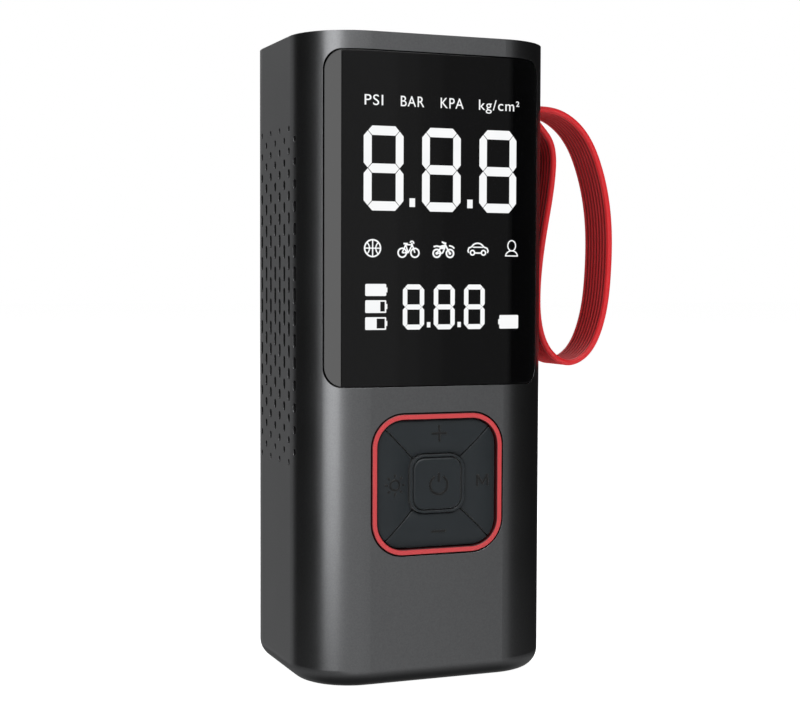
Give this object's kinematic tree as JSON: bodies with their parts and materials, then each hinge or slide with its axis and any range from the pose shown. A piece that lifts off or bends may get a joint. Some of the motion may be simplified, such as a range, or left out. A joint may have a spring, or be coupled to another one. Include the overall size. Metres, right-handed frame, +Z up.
{
  "type": "portable tire inflator",
  "caption": "Hand-held cordless tire inflator: upright rounded housing, black display lens, square keypad with red ring, side air slots and a red hand strap.",
  "frame": {"origin": "centre of the base pad's underside, on the surface the inflator stands on", "axes": "+Z up along the housing, -Y out of the display, +X towards the side with the hand strap"},
  "size_m": [0.0909, 0.0537, 0.156],
  "materials": {
    "housing_plastic": "satin charcoal ABS",
    "cap_plastic": "fine textured charcoal ABS",
    "base_rubber": "matt black",
    "lens_black": "polished black acrylic",
    "display_white": "white light guide",
    "circuit_board": "solder mask",
    "trim_red": "satin red ABS",
    "key_black": "soft-touch dark grey",
    "mat_silicone": "translucent grey",
    "switch_black": "plain",
    "strap_silicone": "moulded red silicone",
    "inner_plastic": "plain black nylon",
    "cell_wrap": "shrink wrap",
    "nickel": "nickel strip",
    "steel": "zinc plated",
    "motor_steel": "plated can",
    "bronze": "sintered bronze",
    "magnet": "ferrite",
    "copper": "enamelled copper",
    "nylon": "natural nylon",
    "cast_alloy": "die cast",
    "seal_ptfe": "filled PTFE",
    "port_brass": "turned brass",
    "tube_silicone": "clear silicone",
    "torch_clear": "frosted polycarbonate",
    "reflector_chrome": "vacuum metallised"
  },
  "bodies": {
    "housing": {"front_housing": "housing_plastic", "rear_cover": "housing_plastic", "top_cap": "cap_plastic", "base_pad": "base_rubber", "cover_screws": "steel", "display_lens": "lens_black", "display_module": "display_white", "display_board": "circuit_board", "keypad_ring": "trim_red", "key_frame": "key_black", "key_mat": "mat_silicone", "key_switches": "switch_black", "button_board": "circuit_board", "hand_strap": "strap_silicone", "strap_clamp": "inner_plastic", "strap_pin": "steel", "battery_cells": "cell_wrap", "cell_links": "nickel", "battery_tray": "inner_plastic", "motor_can": "motor_steel", "motor_end_bell": "inner_plastic", "motor_bushes": "bronze", "motor_magnets": "magnet", "compressor_frame": "cast_alloy", "frame_screws": "steel", "crank_axle": "steel", "cylinder": "cast_alloy", "valve_plate": "steel", "cylinder_head": "cast_alloy", "head_screws": "steel", "pressure_sensor": "switch_black", "hose_port": "port_brass", "port_nut": "port_brass", "air_tube": "tube_silicone", "torch_lens": "torch_clear", "torch_reflector": "reflector_chrome", "torch_led_board": "circuit_board", "usb_socket": "steel", "usb_board": "circuit_board", "main_board": "circuit_board", "board_capacitors": "switch_black"},
    "rotor": {"armature": "copper", "commutator": "copper", "motor_shaft": "steel", "pinion": "bronze", "cooling_fan": "inner_plastic"},
    "crank": {"crank_bush": "bronze", "crank_gear": "nylon", "crank_web": "cast_alloy", "crank_pin": "steel"},
    "rod": {"con_rod": "cast_alloy", "rod_bush": "bronze", "wrist_pin": "steel"},
    "piston": {"piston": "cast_alloy", "piston_seal": "seal_ptfe"},
    "plus_button": {"plus_key": "key_black"},
    "minus_button": {"minus_key": "key_black"},
    "light_button": {"light_key": "key_black"},
    "mode_button": {"mode_key": "key_black"},
    "power_button": {"power_key": "key_black"}
  },
  "joints": [
    {"name": "motor_spin", "type": "hinge", "parent": "housing", "child": "rotor", "pos_m": [-0.006, 0.003, 0.09], "axis": [0, 0, 1], "continuous": true},
    {"name": "crank_spin", "type": "hinge", "parent": "housing", "child": "crank", "pos_m": [0.012, 0.003, 0.113], "axis": [0, 0, 1], "continuous": true},
    {"name": "rod_swing", "type": "hinge", "parent": "crank", "child": "rod", "pos_m": [0.009, 0.003, 0.128], "axis": [0, 0, 1], "continuous": true},
    {"name": "piston_stroke", "type": "slide", "parent": "housing", "child": "piston", "axis": [1, 0, 0], "range_m": [0, 0.006]},
    {"name": "plus_press", "type": "slide", "parent": "housing", "child": "plus_button", "axis": [0, 1, 0], "range_m": [0, 0.0006], "stiffness_N_per_m": 2500},
    {"name": "minus_press", "type": "slide", "parent": "housing", "child": "minus_button", "axis": [0, 1, 0], "range_m": [0, 0.0006], "stiffness_N_per_m": 2500},
    {"name": "light_press", "type": "slide", "parent": "housing", "child": "light_button", "axis": [0, 1, 0], "range_m": [0, 0.0006], "stiffness_N_per_m": 2500},
    {"name": "mode_press", "type": "slide", "parent": "housing", "child": "mode_button", "axis": [0, 1, 0], "range_m": [0, 0.0006], "stiffness_N_per_m": 2500},
    {"name": "power_press", "type": "slide", "parent": "housing", "child": "power_button", "axis": [0, 1, 0], "range_m": [0, 0.0006], "stiffness_N_per_m": 2500}
  ],
  "couplings": [
    {"joint": "crank_spin", "follows": "motor_spin", "ratio": -0.25},
    {"joint": "rod_swing", "follows": "motor_spin", "ratio": 0.25}
  ]
}
